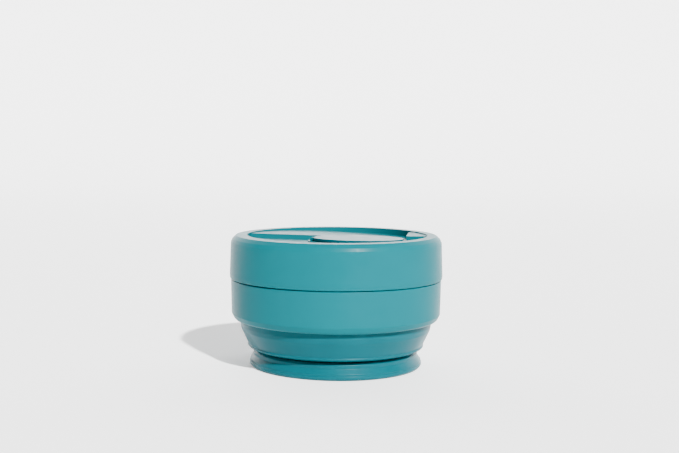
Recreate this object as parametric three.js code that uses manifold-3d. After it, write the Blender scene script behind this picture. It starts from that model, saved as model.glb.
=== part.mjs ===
// Collapsible travel cup, stored flat: a folding silicone cup in a rigid grip sleeve, with a
// screw-on lid and a hinged silicone stopper. Millimetres, +Z up, origin on the table under the axis.
import * as THREE from "three";
import { mergeVertices } from "three/addons/utils/BufferGeometryUtils.js";
import Module from "manifold-3d";

// ---- driving dimensions ----
const SLEEVE_R = 50.3; // largest radius of the grip sleeve
const LID_R = 50.86; // largest radius of the lid, just above its lower edge
const TOP = 62.4; // height of the folded cup with its lid on
const PARTING = 41.8; // height of the joint line between lid and sleeve
const SLEEVE_FOOT = 22.5; // height of the sleeve's lower edge
const SEGMENTS = 64; // facets of every turned piece
const FIT = 0.3; // air between pieces that touch on the real cup
const WALL = 2.2; // wall of a stiff silicone tier
const WEB = 0.7; // wall of a thin folding web

// Silicone tiers: each fits inside the one above it, with a folded web in the gap between them.
const FOLD_TOP = 29.2; // height of the top edge of the two lower tiers when folded
const FOLD_FOOT = 9.9; // height where both folded webs meet the tier outside them
const HOOP_FOOT = 9.0; // lower edge of the upper tier's cone
const HOOP_FOOT_R = 41.5; // its outer radius there
const HOOP_FOOT_IN = 39.9; // its inner radius there
const MIDDLE_R = { foot: 36.4, top: 37.2 }; // outer radius of the middle tier
const BASE_R = { foot: 31.6, top: 32.3 }; // outer radius of the base tier's wall
const FOOT_R = 41.3; // flared foot
const NECK_R = 39.3; // waist between foot and hoop
const FLOOR = 4.0; // inside floor of the cup

// Neck of the sleeve, which the lid screws onto.
const NECK_OUT = 47.9;
const NECK_IN = 46.0;
const NECK_TOP = 51.6;
const RIM_R = 47.6; // flange of the cup that rests on the neck
const RIM_TOP = NECK_TOP + FIT + 2.0;

// Lid.
const SKIRT_IN = 49.1; // inner radius of the skirt
const SEAL_TOP = RIM_TOP + FIT + 1.4;
const LID_SEAT = SEAL_TOP + FIT; // face above the sealing ring
const CEILING = 56.3; // underside of the deck inside the sealing ring
const RECESS = { x: 0.5, y: 0.8, r: 43 }; // inner edge of the raised rim
const DECK_DROP = 1.95; // depth of the sloping deck below the rim at the axis
const DECK_SLOPE = 0.036; // fall of the deck towards +X
const WELL_STEP = 2.0; // step from the deck down to the well in front of it
const WELL_Z = 58.2; // the well's level floor, where its slope would take it lower
const LANDING_DROP = 0.5; // depth of the landing below the rim

// Thread: three starts, turned by hand through one turn to free the lid.
const STARTS = 3;
const LEAD = 15;
const RIDGE = { width: 1.2, sink: 0.2, height: 0.85 };
const THREAD_Z = 43.8; // lower edge of each sleeve ridge where it begins
const SLEEVE_RIDGE_ARC = 100;
const LID_RIDGE_ARC = 60;
const LID_RIDGE_LAG = 20; // how far round from the start of its mate each lid ridge begins

// Stopper: an oval pad hinged at its inner end, with a plug that fills the sip hole.
const PAD = { x: 10.2, y: -9.5, long: 21.8, short: 14.6, turn: -14, top: 61.8, under: 60.4 };
const HINGE_BACK = 20.3; // from the pad's middle to the hinge
const HINGE_R = 1.5; // rounded root of the stopper, which turns in the lid's cradle
const HINGE_HALF = 5.0; // half the length of that root
const HINGE_Z = PAD.top - HINGE_R;
const TAB = 0.8; // the oval starts this far ahead of the hinge, so that its corners clear the bed
const BED_MARGIN = 1.8; // how far the raised bed reaches past the pad
const PLUG_AHEAD = 11.5; // from the pad's middle to the plug
const PLUG_TOP_R = 6.0;
const PLUG_TIP_R = 5.2;
const PLUG_TIP_Z = 55.5;
const SIP_R = PLUG_TOP_R + FIT;

const wasm = await Module();
wasm.setup();

const deg = (a) => (a * Math.PI) / 180;
const cup = new THREE.Group();

const silicone = new THREE.MeshStandardMaterial({ color: 0x1f8fa0, roughness: 0.45, metalness: 0 });
const plastic = new THREE.MeshStandardMaterial({ color: 0x2a9dab, roughness: 0.55, metalness: 0 });

function add(name, geometry, material) {
  const mesh = new THREE.Mesh(geometry, material);
  mesh.name = name;
  cup.add(mesh);
}

// A closed [radius, height] outline turned about the Z axis. It may start and end on the axis.
function turned(outline) {
  const points = outline.map(([r, z]) => new THREE.Vector2(r, z));
  const onAxis = outline[0][0] === 0 && outline.at(-1)[0] === 0;
  const loop = onAxis ? points : [...points, points[0].clone()];
  if (THREE.ShapeUtils.area(points) < 0) loop.reverse();
  return new THREE.LatheGeometry(loop, SEGMENTS).rotateX(Math.PI / 2).rotateZ(Math.PI / 2);
}

function solid(geometry) {
  const g = geometry.clone();
  g.deleteAttribute("normal");
  g.deleteAttribute("uv");
  const merged = mergeVertices(g, 1e-3);
  const mesh = new wasm.Mesh({
    numProp: 3,
    vertProperties: new Float32Array(merged.attributes.position.array),
    triVerts: new Uint32Array(merged.index.array),
  });
  return new wasm.Manifold(mesh);
}

function geometryOf(manifold) {
  const mesh = manifold.getMesh();
  const geometry = new THREE.BufferGeometry();
  geometry.setAttribute("position", new THREE.BufferAttribute(mesh.vertProperties, 3));
  geometry.setIndex(new THREE.BufferAttribute(mesh.triVerts, 1));
  return geometry;
}

// A flat outline in the XY plane, raised from z0 to z1.
function slab(shape, z0, z1, curveSegments = 24) {
  const depth = z1 - z0;
  return new THREE.ExtrudeGeometry(shape, { depth, bevelEnabled: false, curveSegments }).translate(0, 0, z0);
}

// One start of a thread: a straight bar of the ridge's section, wrapped into a helix.
function ridge(radius, outward, z0, startAngle, arc) {
  const root = radius - outward * RIDGE.sink;
  const crest = radius + outward * RIDGE.height;
  const taper = RIDGE.width / 4;
  const section = new THREE.Shape([
    new THREE.Vector2(root, 0),
    new THREE.Vector2(crest, taper),
    new THREE.Vector2(crest, RIDGE.width - taper),
    new THREE.Vector2(root, RIDGE.width),
  ]);
  const steps = Math.ceil(arc / 10);
  const bar = new THREE.ExtrudeGeometry(section, { depth: arc, steps, bevelEnabled: false });
  const p = bar.attributes.position;
  for (let i = 0; i < p.count; i++) {
    const along = arc - p.getZ(i);
    const turn = deg(startAngle + along);
    const rise = (LEAD * along) / 360;
    p.setXYZ(i, p.getX(i) * Math.cos(turn), p.getX(i) * Math.sin(turn), z0 + p.getY(i) + rise);
  }
  return solid(bar);
}

function thread(radius, outward, z0, lag, arc) {
  return Array.from({ length: STARTS }, (_, i) => {
    const rise = (LEAD * lag) / 360;
    return ridge(radius, outward, z0 + rise, lag + (360 / STARTS) * i, arc);
  });
}

// ---- silicone cup: three stiff tiers and the two thin webs that fold between them ----
function baseTier() {
  const inside = BASE_R.foot - WALL;
  add(
    "base_tier",
    turned([
      [0, 1.4],
      [36.6, 1.4],
      [37.6, 0],
      [40.6, 0],
      [FOOT_R, 0.9],
      [FOOT_R, 3.0],
      [40.9, 3.6],
      [NECK_R, 5.2],
      [NECK_R, 6.6],
      [38.6, 7.6],
      [37.4, 8.2],
      [BASE_R.foot + 1.4, 8.4],
      [BASE_R.foot, 9.8],
      [BASE_R.top, FOLD_TOP],
      [BASE_R.top - WALL, FOLD_TOP],
      [inside, 9.0],
      [inside - 1.4, 5.4],
      [inside - 4.6, FLOOR],
      [0, FLOOR],
    ]),
    silicone,
  );
}

function middleTier() {
  add(
    "middle_tier",
    turned([
      [MIDDLE_R.foot - WALL, FOLD_FOOT],
      [MIDDLE_R.foot - 0.4, FOLD_FOOT],
      [MIDDLE_R.foot, FOLD_FOOT + 0.5],
      [MIDDLE_R.top, FOLD_TOP],
      [MIDDLE_R.top - WALL, FOLD_TOP],
    ]),
    silicone,
  );
}

function upperTier() {
  add(
    "upper_tier",
    turned([
      [HOOP_FOOT_IN, HOOP_FOOT],
      [HOOP_FOOT_R, HOOP_FOOT],
      [42.3, 11.2],
      [45.2, 17.4],
      [45.7, 19.0],
      [45.7, SLEEVE_FOOT + 0.3],
      [46.7, SLEEVE_FOOT + 1.6],
      [46.7, 41.9],
      [NECK_IN - FIT, 43.1],
      [NECK_IN - FIT, NECK_TOP + FIT],
      [RIM_R, NECK_TOP + FIT],
      [RIM_R, RIM_TOP],
      [43.3, RIM_TOP],
      [43.3, 42.9],
      [44.4, 41.5],
      [44.4, SLEEVE_FOOT + 1.6],
      [43.3, SLEEVE_FOOT - 0.5],
      [43.0, 18.7],
      [HOOP_FOOT_IN, 11.4],
    ]),
    silicone,
  );
}

// A folded web runs from the lower edge of the outer tier up to the upper edge of the inner one.
function foldWeb(name, outerTierIn, innerTierOut) {
  const footOut = outerTierIn - FIT;
  const topIn = innerTierOut + FIT;
  const bottom = FOLD_FOOT + FIT;
  const top = FOLD_TOP - FIT;
  add(
    name,
    turned([
      [footOut - WEB, bottom],
      [footOut, bottom],
      [topIn + WEB, top],
      [topIn, top],
    ]),
    silicone,
  );
}

// ---- grip sleeve: the hard ring that the cup hangs in and the lid screws onto ----
function gripSleeve() {
  const body = turned([
    [46.2, SLEEVE_FOOT],
    [48.2, SLEEVE_FOOT],
    [48.7, 22.8],
    [49.9, 25.0],
    [SLEEVE_R - 0.15, 25.9],
    [SLEEVE_R, PARTING - 0.8],
    [SLEEVE_R - 0.5, PARTING - 0.2],
    [NECK_OUT, PARTING - 0.2],
    [NECK_OUT, NECK_TOP],
    [NECK_IN, NECK_TOP],
    [NECK_IN, 43.2],
    [47.1, 42.1],
    [47.1, SLEEVE_FOOT + 1.4],
    [46.2, SLEEVE_FOOT + 0.6],
  ]);
  const ridges = thread(NECK_OUT, 1, THREAD_Z, 0, SLEEVE_RIDGE_ARC);
  add("grip_sleeve", geometryOf(wasm.Manifold.union([solid(body), ...ridges])), plastic);
}

// ---- lid ----
function sealRing() {
  add(
    "lid_seal",
    turned([
      [43.6, RIM_TOP + FIT],
      [47.9, RIM_TOP + FIT],
      [47.9, SEAL_TOP],
      [43.6, SEAL_TOP],
    ]),
    silicone,
  );
}

function lidBlank() {
  return solid(
    turned([
      [0, TOP],
      [47.5, TOP],
      [48.3, 62.0],
      [49.6, 60.6],
      [50.2, 59.2],
      [50.35, 58.0],
      [LID_R, 44.1],
      [LID_R - 0.15, 42.5],
      [LID_R - 0.6, PARTING + 0.2],
      [SKIRT_IN, PARTING + 0.2],
      [SKIRT_IN, LID_SEAT],
      [43.2, LID_SEAT],
      [43.2, CEILING],
      [0, CEILING],
    ]),
  );
}

// The sunken area of the top.
function recess() {
  const disc = new THREE.Shape().absarc(RECESS.x, RECESS.y, RECESS.r, 0, 2 * Math.PI);
  return solid(slab(disc, CEILING, TOP + 1, 36));
}

// Everything above a surface that falls towards the sip hole, at this depth below the rim at the axis.
function aboveSlope(depth) {
  const reach = 60;
  const block = new THREE.BoxGeometry(2 * reach, 2 * reach, 20).translate(0, 0, 10);
  block.rotateY(Math.atan(DECK_SLOPE)).translate(0, 0, TOP - depth);
  return solid(block);
}

function aboveWell() {
  const inFront = new THREE.Shape([
    new THREE.Vector2(-60, 7.8),
    new THREE.Vector2(-60, -60),
    new THREE.Vector2(60, -60),
    new THREE.Vector2(60, -0.5),
    new THREE.Vector2(33.6, -0.5),
    new THREE.Vector2(8, 15),
  ]);
  return solid(slab(inFront, WELL_Z, TOP + 1)).intersect(aboveSlope(DECK_DROP + WELL_STEP));
}

// The raised landing beside the sip hole, just below the rim.
function landing() {
  const outline = new THREE.Shape([
    new THREE.Vector2(33.6, -0.5),
    new THREE.Vector2(60, -0.5),
    new THREE.Vector2(60, 21),
    new THREE.Vector2(36.2, 21),
  ]);
  return solid(slab(outline, CEILING, TOP - LANDING_DROP));
}

const padFrame = new THREE.Matrix4()
  .makeTranslation(PAD.x, PAD.y, 0)
  .multiply(new THREE.Matrix4().makeRotationZ(deg(PAD.turn)));

// A round post on the pad's long axis, tapering from top to tip.
function post(ahead, rTop, rTip, zTop, zTip) {
  const geometry = new THREE.CylinderGeometry(rTop, rTip, zTop - zTip, 32).rotateX(Math.PI / 2);
  return solid(geometry.translate(ahead, 0, (zTop + zTip) / 2).applyMatrix4(padFrame));
}

function padSlab(grow, z0, z1) {
  const oval = new THREE.Shape().absellipse(0, 0, PAD.long + grow, PAD.short + grow, 0, 2 * Math.PI);
  return solid(slab(oval, z0, z1, 28).applyMatrix4(padFrame));
}

function hingeRoll(radius, half) {
  const roll = new THREE.CylinderGeometry(radius, radius, 2 * half, 20);
  return solid(roll.translate(-HINGE_BACK, 0, HINGE_Z).applyMatrix4(padFrame));
}

function lidShell() {
  const sunken = recess().intersect(aboveSlope(DECK_DROP).add(aboveWell())).subtract(landing());
  const seat = padSlab(0.6, PAD.under - FIT, TOP + 1).intersect(recess());
  const sipHole = post(PLUG_AHEAD, SIP_R, SIP_R, TOP + 1, CEILING - 1);
  const cradle = hingeRoll(HINGE_R + FIT, HINGE_HALF + FIT);
  const ridges = thread(SKIRT_IN, -1, THREAD_Z - RIDGE.width - FIT, LID_RIDGE_LAG, LID_RIDGE_ARC);
  const bed = padSlab(BED_MARGIN, CEILING, PAD.under - FIT);
  const shell = lidBlank().subtract(sunken).add(bed).subtract(seat).subtract(sipHole).subtract(cradle);
  add("lid_shell", geometryOf(wasm.Manifold.union([shell, ...ridges])), plastic);
}

function stopper() {
  const ahead = new THREE.BoxGeometry(60, 60, 10).translate(30 - HINGE_BACK + TAB, 0, PAD.top);
  const oval = padSlab(0, PAD.under, PAD.top).intersect(solid(ahead.applyMatrix4(padFrame)));
  const length = TAB + 2;
  const strip = new THREE.BoxGeometry(length, 2 * HINGE_HALF, PAD.top - PAD.under);
  strip.translate(length / 2 - HINGE_BACK, 0, (PAD.top + PAD.under) / 2);
  const pad = oval.add(solid(strip.applyMatrix4(padFrame)));
  const plug = post(PLUG_AHEAD, PLUG_TOP_R, PLUG_TIP_R, PAD.under + 0.2, PLUG_TIP_Z);
  const roll = hingeRoll(HINGE_R, HINGE_HALF);
  add("stopper", geometryOf(pad.add(plug).add(roll)), silicone);
}

baseTier();
foldWeb("lower_fold_web", MIDDLE_R.foot - WALL, BASE_R.top);
middleTier();
foldWeb("upper_fold_web", HOOP_FOOT_IN, MIDDLE_R.top);
upperTier();
gripSleeve();
sealRing();
lidShell();
stopper();

export default cup;
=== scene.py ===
# Collapsible travel cup, stored flat with its lid on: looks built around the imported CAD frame.
import math

import bmesh
import bpy
from mathutils import Matrix, Vector


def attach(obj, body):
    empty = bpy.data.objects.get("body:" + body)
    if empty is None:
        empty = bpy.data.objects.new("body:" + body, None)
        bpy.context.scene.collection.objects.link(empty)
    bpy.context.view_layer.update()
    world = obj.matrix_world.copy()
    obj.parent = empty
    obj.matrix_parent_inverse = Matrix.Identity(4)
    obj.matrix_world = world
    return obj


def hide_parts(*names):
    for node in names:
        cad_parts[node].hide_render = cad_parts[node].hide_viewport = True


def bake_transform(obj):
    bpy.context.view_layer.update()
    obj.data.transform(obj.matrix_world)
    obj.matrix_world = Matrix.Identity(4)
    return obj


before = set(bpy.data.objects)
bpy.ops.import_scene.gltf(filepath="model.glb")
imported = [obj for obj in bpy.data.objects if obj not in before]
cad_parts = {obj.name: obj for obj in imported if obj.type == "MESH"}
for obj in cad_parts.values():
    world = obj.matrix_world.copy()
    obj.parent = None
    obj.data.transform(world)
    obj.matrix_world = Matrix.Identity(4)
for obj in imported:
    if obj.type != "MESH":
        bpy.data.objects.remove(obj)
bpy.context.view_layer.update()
MM = 0.001

# ---- driving dimensions, in millimetres, as in the CAD ----
TURN_STEPS = 192
TOP = 62.4
PARTING = 41.8
SLEEVE_FOOT = 22.5
NECK_OUT = 47.9
NECK_TOP = 51.6
SKIRT_IN = 49.1
FOLD_TOP = 29.2
FOLD_FOOT = 9.9
CEILING = 56.3
RECESS_X, RECESS_Y, RECESS_R = 0.5, 0.8, 43
DECK_DROP = 1.95
DECK_SLOPE = 0.036
WELL_STEP = 2.0
WELL_Z = 58.2
LANDING_DROP = 0.5
PAD_X, PAD_Y, PAD_TURN = 10.2, -9.5, -14
PAD_LONG, PAD_SHORT, PAD_TOP, PAD_UNDER = 21.8, 14.6, 61.8, 60.4
HINGE_BACK, HINGE_R, HINGE_HALF, TAB = 20.3, 1.5, 5.0, 0.8
BED_MARGIN = 1.8
PLUG_AHEAD, PLUG_TOP_R, PLUG_TIP_R, PLUG_TIP_Z = 11.5, 6.0, 5.2, 55.5
FIT = 0.3
THREAD_STARTS, THREAD_LEAD, THREAD_Z = 3, 15, 43.8
RIDGE_WIDTH, RIDGE_HEIGHT, RIDGE_SINK = 1.2, 0.85, 0.2
SLEEVE_RIDGE_ARC, LID_RIDGE_ARC, LID_RIDGE_LAG = 100, 60, 20
REACH = 60  # clears the lid on every side
CUT_LOW, CUT_HIGH = 50, 70  # below and above the lid's top plate
WELL_AREA = [(-REACH, 7.8), (-REACH, -REACH), (REACH, -REACH), (REACH, -0.5), (33.6, -0.5), (8, 15)]
LANDING_AREA = [(33.6, -0.5), (REACH, -0.5), (REACH, 21), (36.2, 21)]
LID_EDGE, PAD_EDGE = 0.2, 0.35  # rounding of their edges
WEB_RINGS = 24  # how many rings a web is cut into, so that it can bend

# ---- camera: the photograph's viewing angle, a little above the lid's rim ----
CAMERA_PLACE = Vector((0.0, -0.528, 0.1095))
CAMERA_PITCH = 4.692
CAMERA_YAW = 3.87
CAMERA_ROLL = 0.04
LENS = 58.43
SHIFT_X = 0.115  # the photograph is cropped, so the cup sits left of the middle

# ---- light: a small bright key to the right of the camera, in a pale surrounding ----
KEY_RIGHT = 27
KEY_HIGH = 38.5
KEY_STRENGTH = 13.0
KEY_ANGLE = 2.5
SKY = 0.24
PAPER_GLOW = 0.25  # the paper's own faint glow, which keeps it pale
SWEEP_START = 1.5  # where the pale paper behind the cup starts to curve up, in metres
SWEEP_R = 1.0
PAPER_HALF, PAPER_NEAR, PAPER_HIGH = 5, -4.0, 4.0

TEAL_PLASTIC = (0.0, 0.087, 0.104)
TEAL_SILICONE = (0.0, 0.066, 0.083)


# ---- mesh helpers ----
def make(name, bm):
    bmesh.ops.remove_doubles(bm, verts=bm.verts, dist=1e-7)
    bmesh.ops.recalc_face_normals(bm, faces=bm.faces)
    mesh = bpy.data.meshes.new(name)
    bm.to_mesh(mesh)
    bm.free()
    obj = bpy.data.objects.new(name, mesh)
    bpy.context.collection.objects.link(obj)
    return obj


def rounded(outline):
    """A smooth outline from corner points (radius, height, fillet).

    It closes on itself unless both its ends are on the axis.
    """
    on_axis = outline[0][0] == 0 and outline[-1][0] == 0
    points = []
    count = len(outline)
    for i, (r, z, fillet) in enumerate(outline):
        here = Vector((r, z))
        end = on_axis and i in (0, count - 1)
        if fillet == 0 or end:
            points.append(here)
            continue
        before = Vector(outline[i - 1][:2]) - here
        after = Vector(outline[(i + 1) % count][:2]) - here
        half = before.angle(after) / 2
        reach = min(fillet / math.tan(half), 0.48 * before.length, 0.48 * after.length)
        radius = reach * math.tan(half)
        middle = here + (before.normalized() + after.normalized()).normalized() * radius / math.sin(half)
        spoke = here + before.normalized() * reach - middle
        swing = spoke.angle_signed(here + after.normalized() * reach - middle)
        steps = max(2, math.ceil(math.degrees(abs(swing)) / 12))
        points += [middle + Matrix.Rotation(-swing * k / steps, 2) @ spoke for k in range(steps + 1)]
    return points, on_axis


def turned(name, outline):
    """A solid of revolution about the cup's axis."""
    points, on_axis = rounded(outline)
    bm = bmesh.new()
    rings = []
    for step in range(TURN_STEPS):
        a = 2 * math.pi * step / TURN_STEPS
        ring = [bm.verts.new((p.x * MM * math.cos(a), p.x * MM * math.sin(a), p.y * MM)) for p in points]
        rings.append(ring)
    last = len(points) - 1 if on_axis else len(points)
    for step in range(TURN_STEPS):
        here, there = rings[step], rings[(step + 1) % TURN_STEPS]
        for k in range(last):
            j = (k + 1) % len(points)
            bm.faces.new((here[k], here[j], there[j], there[k]))
    bmesh.ops.remove_doubles(bm, verts=bm.verts, dist=1e-7)
    bmesh.ops.dissolve_degenerate(bm, edges=bm.edges, dist=1e-7)
    return make(name, bm)


def prism(name, outline, low, high):
    """A closed outline (x, y) between two heights, each a number or a function of (x, y)."""
    floor = low if callable(low) else lambda x, y: low
    roof = high if callable(high) else lambda x, y: high
    bm = bmesh.new()
    lower = [bm.verts.new((x * MM, y * MM, floor(x, y) * MM)) for x, y in outline]
    upper = [bm.verts.new((x * MM, y * MM, roof(x, y) * MM)) for x, y in outline]
    bm.faces.new(lower)
    bm.faces.new(upper)
    for i in range(len(outline)):
        j = (i + 1) % len(outline)
        bm.faces.new((lower[i], lower[j], upper[j], upper[i]))
    return make(name, bm)


def baked(obj):
    """The object's mesh with its modifiers applied."""
    depsgraph = bpy.context.evaluated_depsgraph_get()
    mesh = bpy.data.meshes.new_from_object(obj.evaluated_get(depsgraph))
    obj.modifiers.clear()
    obj.data = mesh
    return obj


def carve(obj, operation, other):
    """Union, difference or intersection with another solid, which is used up."""
    modifier = obj.modifiers.new("carve", "BOOLEAN")
    modifier.operation = operation
    modifier.solver = "EXACT"
    modifier.object = other
    baked(obj)
    bpy.data.objects.remove(other)
    return obj


def soften(obj, width, angle=32):
    """Rounds every edge sharper than angle, as a moulding has."""
    bm = bmesh.new()
    bm.from_mesh(obj.data)
    bmesh.ops.remove_doubles(bm, verts=bm.verts, dist=2e-6)
    bmesh.ops.dissolve_limit(bm, angle_limit=math.radians(0.5), verts=bm.verts, edges=bm.edges)
    bm.to_mesh(obj.data)
    bm.free()
    bevel = obj.modifiers.new("soften", "BEVEL")
    bevel.width = width * MM
    bevel.segments = 3
    bevel.limit_method = "ANGLE"
    bevel.angle_limit = math.radians(angle)
    return baked(obj)


def smooth(obj, angle=35):
    for face in obj.data.polygons:
        face.use_smooth = True
    obj.data.set_sharp_from_angle(angle=math.radians(angle))


def even_shading(obj):
    """Keeps broad flat faces flat beside their small fillets."""
    modifier = obj.modifiers.new("even_shading", "WEIGHTED_NORMAL")
    modifier.keep_sharp = True
    return baked(obj)


def finish(obj, body, slot, material, *nodes):
    smooth(obj)
    if body:
        even_shading(obj)
    obj.data.materials.clear()
    obj.data.materials.append(material)
    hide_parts(*nodes)
    if body:
        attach(obj, body)


# ---- materials ----
def material(name, color, roughness):
    mat = bpy.data.materials.new(name)
    mat.use_nodes = True
    shader = mat.node_tree.nodes["Principled BSDF"]
    shader.inputs["Base Color"].default_value = (*color, 1)
    shader.inputs["Roughness"].default_value = roughness
    return mat, mat.node_tree, shader


def noise(tree, scale, detail=3.0):
    where = tree.nodes.new("ShaderNodeTexCoord")
    node = tree.nodes.new("ShaderNodeTexNoise")
    node.inputs["Scale"].default_value = scale
    node.inputs["Detail"].default_value = detail
    tree.links.new(where.outputs["Object"], node.inputs["Vector"])
    return node.outputs["Fac"]


def spread(tree, value, low, high):
    """Maps a noise value to a range."""
    node = tree.nodes.new("ShaderNodeMapRange")
    node.inputs["From Min"].default_value = 0.3
    node.inputs["From Max"].default_value = 0.7
    node.inputs["To Min"].default_value = low
    node.inputs["To Max"].default_value = high
    tree.links.new(value, node.inputs["Value"])
    return node.outputs["Result"]


def tinted(tree, color, value, amount):
    """The colour, lighter and darker by amount as value goes from 0.3 to 0.7."""
    node = tree.nodes.new("ShaderNodeHueSaturation")
    node.inputs["Color"].default_value = (*color, 1)
    tree.links.new(spread(tree, value, 1 - amount, 1 + amount), node.inputs["Value"])
    return node.outputs["Color"]


def bumped(tree, height, depth, before=None):
    node = tree.nodes.new("ShaderNodeBump")
    node.inputs["Strength"].default_value = 1.0
    node.inputs["Distance"].default_value = depth
    tree.links.new(height, node.inputs["Height"])
    if before:
        tree.links.new(before, node.inputs["Normal"])
    return node.outputs["Normal"]


def moulded_plastic():
    """Satin polypropylene with the fine spark-eroded grain of its mould and a faint long flow waviness."""
    mat, tree, shader = material("satin_plastic", TEAL_PLASTIC, 0.42)
    tree.links.new(tinted(tree, TEAL_PLASTIC, noise(tree, 45), 0.03), shader.inputs["Base Color"])
    tree.links.new(spread(tree, noise(tree, 700), 0.28, 0.36), shader.inputs["Roughness"])
    waves = bumped(tree, noise(tree, 90, 1.0), 0.00004)
    grain = bumped(tree, noise(tree, 2600, 2.0), 0.00001, waves)
    tree.links.new(grain, shader.inputs["Normal"])
    shader.inputs["Specular IOR Level"].default_value = 0.04
    return mat


def glossy_silicone():
    """Smooth moulded silicone: deeper in colour, glossier, and slightly translucent."""
    mat, tree, shader = material("silicone", TEAL_SILICONE, 0.3)
    tree.links.new(tinted(tree, TEAL_SILICONE, noise(tree, 60), 0.05), shader.inputs["Base Color"])
    tree.links.new(spread(tree, noise(tree, 150), 0.28, 0.34), shader.inputs["Roughness"])
    waves = bumped(tree, noise(tree, 120, 1.0), 0.00005)
    grain = bumped(tree, noise(tree, 1500, 2.0), 0.0000025, waves)
    tree.links.new(grain, shader.inputs["Normal"])
    shader.inputs["Specular IOR Level"].default_value = 0.06
    shader.inputs["Subsurface Weight"].default_value = 0.3
    shader.inputs["Subsurface Radius"].default_value = (0.5, 1.0, 1.0)
    shader.inputs["Subsurface Scale"].default_value = 0.002
    return mat


def paper():
    mat, tree, shader = material("pale_paper", (0.95, 0.95, 0.95), 0.9)
    tree.links.new(tinted(tree, (0.95, 0.95, 0.95), noise(tree, 30), 0.005), shader.inputs["Base Color"])
    shader.inputs["Emission Color"].default_value = (1, 1, 1, 1)
    shader.inputs["Emission Strength"].default_value = PAPER_GLOW
    return mat


# ---- the cup ----
def base_tier(silicone):
    obj = turned("base_tier_skin", [
        (0, 1.4, 0), (36.4, 1.4, 0.4), (37.6, 0, 0.3), (40.5, 0, 0.6), (41.3, 1.0, 0.5), (41.3, 1.9, 0.25),
        (40.95, 2.2, 0.2), (40.95, 3.0, 0.5), (39.9, 4.4, 0.6), (39.3, 5.2, 0.5), (39.3, 6.8, 0.5),
        (38.5, 7.8, 0.6), (33.0, 8.4, 1.2), (31.6, 10.2, 0.6), (32.3, FOLD_TOP, 0.9),
        (30.1, FOLD_TOP, 0.9), (29.4, 9.0, 3.0), (28.0, 5.4, 1.4), (24.8, 4.0, 3.0), (0, 4.0, 0),
    ])
    finish(obj, "base", "silicone", silicone, "base_tier")


def middle_tier(silicone):
    obj = turned("middle_tier_skin", [
        (34.2, FOLD_FOOT, 0.7), (36.4, FOLD_FOOT, 0.9), (37.2, FOLD_TOP, 0.9), (35.0, FOLD_TOP, 0.9),
    ])
    finish(obj, "middle", "silicone", silicone, "middle_tier")


def upper_tier(silicone):
    obj = turned("upper_tier_skin", [
        (39.9, 9.0, 0.6), (41.4, 9.0, 0.4), (42.2, 9.7, 0.25), (42.25, 10.2, 0.2), (42.0, 10.55, 0.2),
        (42.2, 11.1, 0.5), (45.3, 17.6, 3.0), (45.7, 19.6, 2.0), (45.7, SLEEVE_FOOT + 0.3, 0.5),
        (46.7, SLEEVE_FOOT + 1.6, 0.5), (46.7, 41.9, 0.8), (45.7, 43.1, 0.5), (45.7, 51.9, 0.2),
        (47.6, 51.9, 0.8), (47.6, 53.9, 0.9), (43.3, 53.9, 0.9), (43.3, 42.9, 1.0), (44.4, 41.5, 1.0),
        (44.4, SLEEVE_FOOT + 1.6, 1.0), (43.3, SLEEVE_FOOT - 0.5, 1.0), (43.0, 18.7, 2.0),
        (39.9, 11.4, 1.5),
    ])
    finish(obj, "upper", "silicone", silicone, "upper_tier")


def fold_web(name, foot_out, top_in, node, silicone):
    """The thin web between two tiers, cut into level rings; on the real cup it turns inside out as they
    move apart.
    """
    obj = turned(name, [
        (foot_out - 1.0, FOLD_FOOT + 0.1, 0.3), (foot_out, FOLD_FOOT + 0.1, 0.3),
        (top_in + 0.9, FOLD_TOP - 0.1, 0.3), (top_in, FOLD_TOP - 0.1, 0.3),
    ])
    cut_rings(obj, FOLD_FOOT, FOLD_TOP, WEB_RINGS)
    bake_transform(obj)
    finish(obj, None, "silicone", silicone, node)


def cut_rings(obj, low, high, count):
    """Level cuts, so that a straight wall can bend."""
    bm = bmesh.new()
    bm.from_mesh(obj.data)
    for i in range(1, count):
        z = (low + (high - low) * i / count) * MM
        geometry = bm.verts[:] + bm.edges[:] + bm.faces[:]
        bmesh.ops.bisect_plane(bm, geom=geometry, plane_co=(0, 0, z), plane_no=(0, 0, 1))
    bm.to_mesh(obj.data)
    bm.free()


def thread_ridge(name, root, crest, z0, start, arc):
    """One start of a round-topped screw thread."""
    shoulder = root + 0.75 * (crest - root)
    section = [(root, 0.0), (shoulder, 0.1 * RIDGE_WIDTH), (crest, RIDGE_WIDTH / 3),
               (crest, 2 * RIDGE_WIDTH / 3), (shoulder, 0.9 * RIDGE_WIDTH), (root, RIDGE_WIDTH)]
    bm = bmesh.new()
    steps = math.ceil(arc / 3)
    rings = []
    for i in range(steps + 1):
        along = arc * i / steps
        a = math.radians(start + along)
        fade = min(1, 6 * i / steps, 6 * (steps - i) / steps)
        ring = []
        for r, h in section:
            r = root + (r - root) * max(fade, 0.05)
            z = z0 + h + THREAD_LEAD * along / 360
            ring.append(bm.verts.new((r * MM * math.cos(a), r * MM * math.sin(a), z * MM)))
        rings.append(ring)
    count = len(section)
    for here, there in zip(rings, rings[1:]):
        for k in range(count):
            bm.faces.new((here[k], here[(k + 1) % count], there[(k + 1) % count], there[k]))
    bm.faces.new(rings[0])
    bm.faces.new(rings[-1])
    return make(name, bm)


def add_thread(obj, root, crest, z0, lag, arc):
    rise = THREAD_LEAD * lag / 360
    for i in range(THREAD_STARTS):
        start = lag + 360 / THREAD_STARTS * i
        carve(obj, "UNION", thread_ridge("ridge", root, crest, z0 + rise, start, arc))


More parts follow.
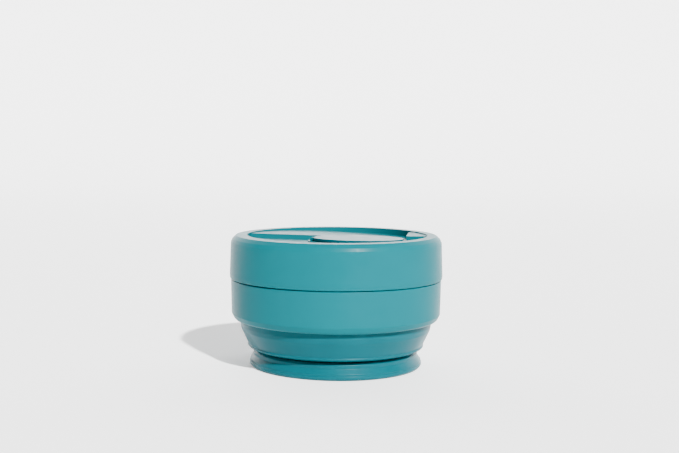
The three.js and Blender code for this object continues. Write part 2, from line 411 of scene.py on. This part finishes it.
def grip_sleeve(plastic):
    obj = turned("grip_sleeve_skin", [
        (46.2, SLEEVE_FOOT, 0.3), (48.2, SLEEVE_FOOT, 0.25), (48.9, 23.2, 0.8), (49.95, 25.3, 0.5),
        (50.3, PARTING - 0.2, 0.45), (NECK_OUT, PARTING - 0.2, 0.3), (NECK_OUT, NECK_TOP, 0.5),
        (46.0, NECK_TOP, 0.4), (46.0, 43.2, 0.4), (47.1, 42.1, 0.4), (47.1, SLEEVE_FOOT + 1.4, 0.4),
        (46.2, SLEEVE_FOOT + 0.6, 0.2),
    ])
    add_thread(obj, NECK_OUT - RIDGE_SINK, NECK_OUT + RIDGE_HEIGHT, THREAD_Z, 0, SLEEVE_RIDGE_ARC)
    finish(obj, "upper", "plastic", plastic, "grip_sleeve")


def lid_seal(silicone):
    obj = turned("lid_seal_skin", [
        (43.6, 54.2, 0.45), (47.9, 54.2, 0.45), (47.9, 55.6, 0.45), (43.6, 55.6, 0.45),
    ])
    finish(obj, "seal", "silicone", silicone, "lid_seal")


def recess_outline(steps=216):
    turns = [2 * math.pi * i / steps for i in range(steps)]
    return [(RECESS_X + RECESS_R * math.cos(a), RECESS_Y + RECESS_R * math.sin(a)) for a in turns]


def on_pad(ahead, across):
    """A point given along and across the stopper's pad, in the cup's frame."""
    a = math.radians(PAD_TURN)
    x = PAD_X + ahead * math.cos(a) - across * math.sin(a)
    y = PAD_Y + ahead * math.sin(a) + across * math.cos(a)
    return x, y


def oval(grow, steps=96):
    turns = [2 * math.pi * i / steps for i in range(steps)]
    return [on_pad((PAD_LONG + grow) * math.cos(a), (PAD_SHORT + grow) * math.sin(a)) for a in turns]


def strip(start, end, half):
    """A rectangle along the pad's long axis, between two distances ahead of its middle."""
    return [on_pad(*corner) for corner in ((start, -half), (end, -half), (end, half), (start, half))]


def disc(ahead, radius, steps=64):
    turns = [2 * math.pi * i / steps for i in range(steps)]
    return [on_pad(ahead + radius * math.cos(a), radius * math.sin(a)) for a in turns]


def deck(x, y):
    return TOP - DECK_DROP - DECK_SLOPE * x


def well_floor(x, y):
    return deck(x, y) - WELL_STEP


def hinge_roll(name, radius, half):
    steps = 32
    outline = [2 * math.pi * i / steps for i in range(steps)]
    bm = bmesh.new()
    ends = []
    for side in (-half, half):
        ring = []
        for a in outline:
            x, y = on_pad(-HINGE_BACK + radius * math.cos(a), side)
            z = PAD_TOP - HINGE_R + radius * math.sin(a)
            ring.append(bm.verts.new((x * MM, y * MM, z * MM)))
        ends.append(ring)
    for ring in ends:
        bm.faces.new(ring)
    for i in range(steps):
        j = (i + 1) % steps
        bm.faces.new((ends[0][i], ends[0][j], ends[1][j], ends[1][i]))
    return make(name, bm)


def lid_shell(plastic):
    lid = turned("lid_shell_skin", [
        (0, TOP, 0), (47.9, TOP, 0.35), (49.6, 60.8, 1.0), (50.3, 59.25, 0.3), (50.4, 57.8, 2.0),
        (50.86, 43.9, 3.0), (50.75, PARTING + 0.2, 0.45), (SKIRT_IN, PARTING + 0.2, 0.4),
        (SKIRT_IN, 55.9, 0.4), (43.2, 55.9, 0.2), (43.2, CEILING, 0.2), (0, CEILING, 0),
    ])
    above = TOP + 1
    hollow = prism("hollow", recess_outline(), deck, above)
    well = prism("well", recess_outline(), well_floor, above)
    carve(well, "INTERSECT", prism("front", WELL_AREA, WELL_Z, CUT_HIGH))
    for cut in (hollow, well):
        carve(cut, "DIFFERENCE", prism("landing", LANDING_AREA, CUT_LOW, TOP - LANDING_DROP))
        carve(lid, "DIFFERENCE", cut)
    carve(lid, "UNION", prism("bed", oval(BED_MARGIN), CEILING + 0.2, PAD_UNDER - FIT))
    seat = prism("seat", oval(2 * FIT), PAD_UNDER - FIT, above)
    carve(seat, "INTERSECT", prism("recess", recess_outline(), CUT_LOW, CUT_HIGH))
    carve(lid, "DIFFERENCE", seat)
    carve(lid, "DIFFERENCE", prism("sip", disc(PLUG_AHEAD, PLUG_TOP_R + FIT), CUT_LOW, CUT_HIGH))
    carve(lid, "DIFFERENCE", hinge_roll("cradle", HINGE_R + FIT, HINGE_HALF + FIT))
    soften(lid, LID_EDGE)
    add_thread(lid, SKIRT_IN + RIDGE_SINK, SKIRT_IN - RIDGE_HEIGHT, THREAD_Z - RIDGE_WIDTH - FIT,
               LID_RIDGE_LAG, LID_RIDGE_ARC)
    finish(lid, "lid", "plastic", plastic, "lid_shell")


def stopper(silicone):
    pad = prism("stopper_skin", oval(0), PAD_UNDER, PAD_TOP)
    oval_start = -HINGE_BACK + TAB
    carve(pad, "DIFFERENCE", prism("behind", strip(-40, oval_start, 20), CUT_LOW, CUT_HIGH))
    carve(pad, "UNION", prism("tab", strip(-HINGE_BACK, oval_start + 2, HINGE_HALF), PAD_UNDER, PAD_TOP))
    carve(pad, "UNION", hinge_roll("roll", HINGE_R, HINGE_HALF))
    carve(pad, "UNION", plug())
    soften(pad, PAD_EDGE)
    finish(pad, "flap", "silicone", silicone, "stopper")


def plug():
    bm = bmesh.new()
    lower = []
    upper = []
    for (x0, y0), (x1, y1) in zip(disc(PLUG_AHEAD, PLUG_TIP_R), disc(PLUG_AHEAD, PLUG_TOP_R)):
        lower.append(bm.verts.new((x0 * MM, y0 * MM, PLUG_TIP_Z * MM)))
        upper.append(bm.verts.new((x1 * MM, y1 * MM, (PAD_UNDER + 0.2) * MM)))
    bm.faces.new(lower)
    bm.faces.new(upper)
    for i in range(len(lower)):
        j = (i + 1) % len(lower)
        bm.faces.new((lower[i], lower[j], upper[j], upper[i]))
    return make("plug", bm)


# ---- room ----
def room():
    turns = [math.radians(5 * k) for k in range(19)]
    bend = [(SWEEP_START + SWEEP_R * math.sin(a), SWEEP_R * (1 - math.cos(a))) for a in turns]
    profile = [(PAPER_NEAR, 0.0)] + bend + [(SWEEP_START + SWEEP_R, PAPER_HIGH)]
    bm = bmesh.new()
    left = [bm.verts.new((-PAPER_HALF, y, z)) for y, z in profile]
    right = [bm.verts.new((PAPER_HALF, y, z)) for y, z in profile]
    for i in range(len(profile) - 1):
        bm.faces.new((left[i], right[i], right[i + 1], left[i + 1]))
    floor = make("floor", bm)
    smooth(floor)
    floor.data.materials.append(paper())
    world = bpy.data.worlds.new("pale_room")
    bpy.context.scene.world = world
    world.use_nodes = True
    background = world.node_tree.nodes["Background"]
    background.inputs["Color"].default_value = (1, 1, 1, 1)
    background.inputs["Strength"].default_value = SKY


def key_light():
    data = bpy.data.lights.new("key", "SUN")
    data.energy = KEY_STRENGTH
    data.angle = math.radians(KEY_ANGLE)
    obj = bpy.data.objects.new("key", data)
    bpy.context.collection.objects.link(obj)
    right, high = math.radians(KEY_RIGHT), math.radians(KEY_HIGH)
    towards = Vector((math.sin(right) * math.cos(high), -math.cos(right) * math.cos(high), math.sin(high)))
    obj.rotation_euler = towards.to_track_quat("Z", "Y").to_euler()


def camera():
    data = bpy.data.cameras.new("camera")
    data.lens = LENS
    data.sensor_width = 36
    data.shift_x = SHIFT_X
    obj = bpy.data.objects.new("camera", data)
    bpy.context.collection.objects.link(obj)
    turn = Matrix.Rotation(math.radians(CAMERA_YAW), 4, "Z")
    turn @= Matrix.Rotation(math.radians(90 - CAMERA_PITCH), 4, "X")
    turn @= Matrix.Rotation(math.radians(CAMERA_ROLL), 4, "Z")
    obj.matrix_world = Matrix.Translation(CAMERA_PLACE) @ turn
    bpy.context.scene.camera = obj


camera()
room()
key_light()
plastic = moulded_plastic()
silicone = glossy_silicone()
base_tier(silicone)
fold_web("lower_web_skin", 33.9, 32.35, "lower_fold_web", silicone)
middle_tier(silicone)
fold_web("upper_web_skin", 39.6, 37.25, "upper_fold_web", silicone)
upper_tier(silicone)
grip_sleeve(plastic)
lid_seal(silicone)
lid_shell(plastic)
stopper(silicone)
